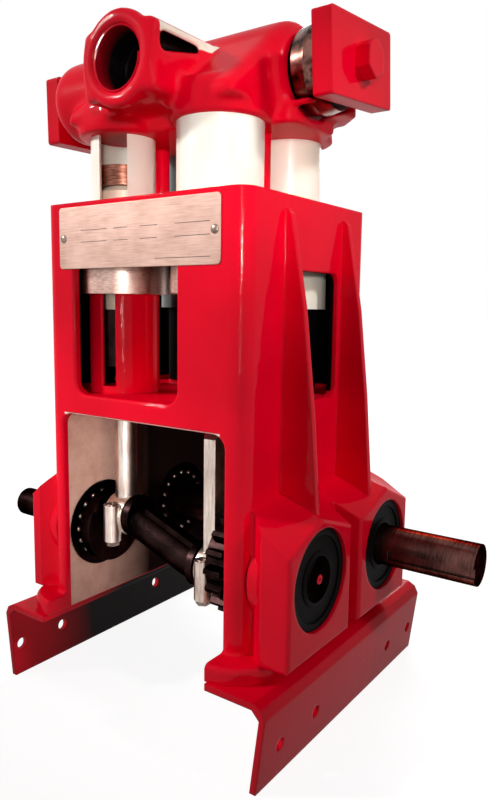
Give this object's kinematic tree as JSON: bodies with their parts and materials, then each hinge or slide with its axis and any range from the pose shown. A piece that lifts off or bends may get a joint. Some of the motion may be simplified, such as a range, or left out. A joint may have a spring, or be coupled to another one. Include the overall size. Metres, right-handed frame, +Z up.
{
  "type": "piston pump",
  "caption": "Vertical two-throw piston pump with a ribbed open frame, geared crank train, upright cylinders and a pump head on bent rails.",
  "frame": {"origin": "floor level, under the middle of the pump's bounding box", "axes": "+X along the crankshaft toward the drive shaft's end, -Y toward the inlet port, +Z up"},
  "size_m": [0.3894, 0.251, 0.509],
  "materials": {
    "red_paint": "glossy red enamel",
    "bright_steel": "bright machined",
    "dark_steel": "oiled dark steel",
    "white_enamel": "glossy white enamel",
    "black_enamel": "glossy black enamel",
    "cream_ceramic": "polished ceramic",
    "copper_bronze": "machined bronze",
    "black_cover": "satin black"
  },
  "bodies": {
    "frame": {"frame_casting": "red_paint", "rail_right": "red_paint", "rail_left": "red_paint", "head_casting": "red_paint", "cylinder_front_left": "white_enamel", "cylinder_front_right": "white_enamel", "vessel_rear_left": "black_enamel", "vessel_rear_right": "white_enamel", "seat_ring_left": "bright_steel", "seat_ring_right": "bright_steel", "vessel_foot_left": "black_enamel", "vessel_foot_right": "white_enamel", "crosshead_left": "bright_steel", "crosshead_right": "bright_steel", "plunger_left": "cream_ceramic", "plunger_right": "cream_ceramic", "piston_cup_left": "copper_bronze", "piston_cup_right": "copper_bronze", "valve_cover_left": "black_cover", "valve_cover_right": "black_cover", "clamp_plate_left": "red_paint", "clamp_plate_right": "red_paint", "clamp_screw_left": "dark_steel", "clamp_screw_right": "dark_steel", "tie_stud_left": "red_paint", "tie_stud_right": "red_paint", "bearing_front_left": "dark_steel", "bearing_front_right": "dark_steel", "bearing_rear_left": "dark_steel", "bearing_rear_right": "dark_steel", "shaft_seal_front_right": "black_cover", "shaft_seal_rear_right": "black_cover", "shaft_seal_front_left": "black_cover", "bore_cap_rear_left": "black_cover"},
    "drive": {"drive_shaft": "bright_steel", "drive_gear": "dark_steel"},
    "crank": {"crankshaft": "dark_steel", "crank_gear": "dark_steel"},
    "rod_left": {"connecting_rod_left": "bright_steel", "wrist_pin_left": "bright_steel"},
    "rod_right": {"connecting_rod_right": "bright_steel", "wrist_pin_right": "bright_steel"}
  },
  "joints": [
    {"name": "drive_spin", "type": "hinge", "parent": "frame", "child": "drive", "pos_m": [-0.0133, 0.04244, 0.122], "axis": [1, 0, 0], "continuous": true},
    {"name": "crank_spin", "type": "hinge", "parent": "frame", "child": "crank", "pos_m": [-0.0133, -0.0615, 0.1255], "axis": [1, 0, 0], "continuous": true},
    {"name": "rod_left_swing", "type": "hinge", "parent": "crank", "child": "rod_left", "pos_m": [-0.0653, -0.0615, 0.138], "axis": [1, 0, 0], "continuous": true},
    {"name": "rod_right_swing", "type": "hinge", "parent": "crank", "child": "rod_right", "pos_m": [0.0297, -0.0615, 0.113], "axis": [1, 0, 0], "continuous": true}
  ],
  "couplings": [
    {"joint": "crank_spin", "follows": "drive_spin", "ratio": -1.8889},
    {"joint": "rod_left_swing", "follows": "drive_spin", "ratio": 1.8889},
    {"joint": "rod_right_swing", "follows": "drive_spin", "ratio": 1.8889}
  ]
}
